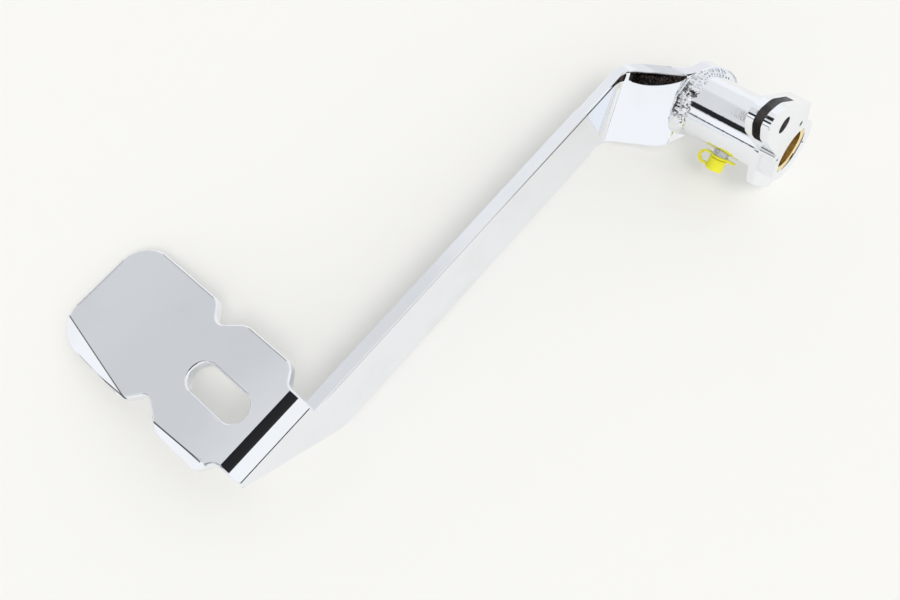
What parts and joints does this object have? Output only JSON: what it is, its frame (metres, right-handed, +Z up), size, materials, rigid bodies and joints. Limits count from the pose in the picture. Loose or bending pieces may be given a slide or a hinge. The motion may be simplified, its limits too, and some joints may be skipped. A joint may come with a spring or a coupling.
{
  "type": "motorcycle brake pedal",
  "caption": "Folded and joggled plate pedal with a waisted, slotted foot pad, a bushed pivot tube, a grease nipple and a kerfed clevis lug with a stop tab.",
  "frame": {"origin": "on the pivot axis, at the middle of the pivot tube's length", "axes": "as mounted on the right-hand side: +X forward along the arm towards the pad, +Y inboard along the pivot axis towards the clevis lug, +Z up on the pad's tread side"},
  "size_m": [0.311, 0.2148, 0.0937],
  "materials": {
    "chrome_plate": "polished chrome plate on steel",
    "bushing_bronze": "turned bronze",
    "nipple_steel": "zinc plated",
    "cap_yellow": "moulded, slightly glossy"
  },
  "bodies": {
    "root": {"pedal_arm": "chrome_plate", "pivot_tube": "chrome_plate", "arm_weld_bead": "chrome_plate", "clevis_lug": "chrome_plate", "bushing_outboard": "bushing_bronze", "bushing_inboard": "bushing_bronze", "nipple_body": "nipple_steel", "nipple_ball": "nipple_steel", "nipple_spring": "nipple_steel", "grease_cap": "cap_yellow"}
  },
  "joints": []
}
